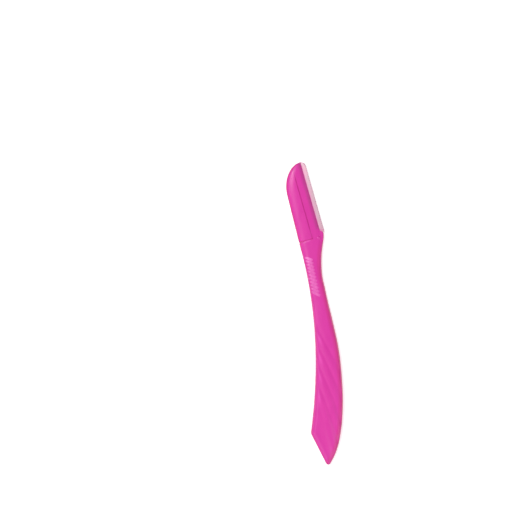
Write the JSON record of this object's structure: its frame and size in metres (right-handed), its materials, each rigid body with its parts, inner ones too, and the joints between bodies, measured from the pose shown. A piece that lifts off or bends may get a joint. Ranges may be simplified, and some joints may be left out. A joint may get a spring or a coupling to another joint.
{
  "type": "eyebrow razor",
  "caption": "Slim moulded eyebrow razor: a bowed, fluted handle, a covered head that clamps a fixed straight blade, and a slotted steel skin guard.",
  "frame": {"origin": "a point on the flat back, in the middle of the head's width, where the shoulder runs into the neck, 5 mm below the seam of the head cover", "axes": "+Y along the cutting edge towards the tip, +X towards the cutting edge, +Z out of the front face, so the part lies on its flat back at z = 0"},
  "size_m": [0.0337, 0.1473, 0.0046],
  "materials": {
    "moulding": "satin injection moulding in strong magenta pink",
    "blade_steel": "ground stainless strip with fine lengthwise grinding marks",
    "guard_steel": "thin bright stainless foil, folded and slotted"
  },
  "bodies": {
    "root": {"handle": "moulding", "head_cover": "moulding", "blade": "blade_steel", "skin_guard": "guard_steel"}
  },
  "joints": []
}
